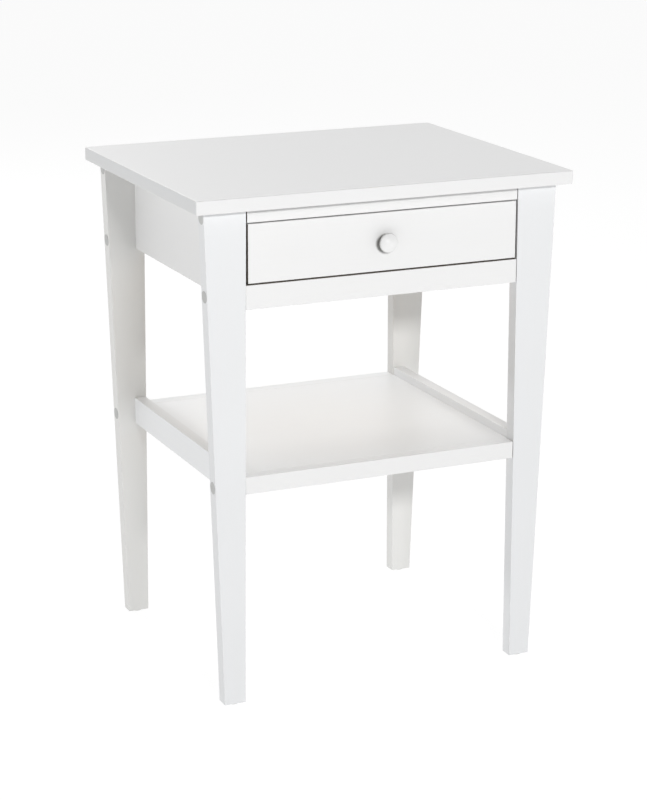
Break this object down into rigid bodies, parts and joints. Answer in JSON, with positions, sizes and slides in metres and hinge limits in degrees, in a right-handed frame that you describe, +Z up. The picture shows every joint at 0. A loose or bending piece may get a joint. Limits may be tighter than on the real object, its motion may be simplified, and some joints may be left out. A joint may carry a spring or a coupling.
{
  "type": "side table with drawer",
  "caption": "White side table with tapered board legs, an inset drawer with a round knob and an open shelf below.",
  "frame": {"origin": "on the floor, under the middle of the tabletop", "axes": "+X to the table's right, -Y out of the drawer's front, +Z up"},
  "size_m": [0.5, 0.4, 0.64],
  "materials": {
    "white_paint": "satin white paint over wood board",
    "bare_wood": "planed pine, unfinished",
    "thin_board": "thin fibreboard, smooth face",
    "zinc_steel": "zinc plated",
    "cap_plastic": "moulded, matt light grey",
    "glide_plastic": "moulded, matt white"
  },
  "bodies": {
    "frame": {"tabletop": "white_paint", "front_leg_left": "white_paint", "front_leg_right": "white_paint", "back_leg_left": "white_paint", "back_leg_right": "white_paint", "front_top_rail": "white_paint", "front_lower_rail": "white_paint", "side_apron_left": "white_paint", "side_apron_right": "white_paint", "back_apron": "white_paint", "top_cleat_left": "bare_wood", "top_cleat_right": "bare_wood", "drawer_runner_left": "bare_wood", "drawer_runner_right": "bare_wood", "drawer_end_stops": "bare_wood", "drawer_catch": "bare_wood", "shelf_panel": "white_paint", "shelf_front_rail": "white_paint", "shelf_back_rail": "white_paint", "shelf_side_rail_left": "white_paint", "shelf_side_rail_right": "white_paint", "shelf_cleat_left": "bare_wood", "shelf_cleat_right": "bare_wood", "leg_bolts": "zinc_steel", "barrel_nuts": "zinc_steel", "cover_caps": "cap_plastic", "cam_dowels": "zinc_steel", "cam_discs": "zinc_steel", "frame_dowels": "bare_wood", "frame_screws": "zinc_steel", "foot_glides": "glide_plastic"},
    "drawer": {"drawer_front": "white_paint", "drawer_side_left": "bare_wood", "drawer_side_right": "bare_wood", "drawer_back": "bare_wood", "drawer_bottom": "thin_board", "drawer_knob": "white_paint", "knob_screw": "zinc_steel", "drawer_dowels": "bare_wood", "drawer_screws": "zinc_steel"}
  },
  "joints": [
    {"name": "drawer_slide", "type": "slide", "parent": "frame", "child": "drawer", "axis": [0, -1, 0], "range_m": [0, 0.24]}
  ]
}
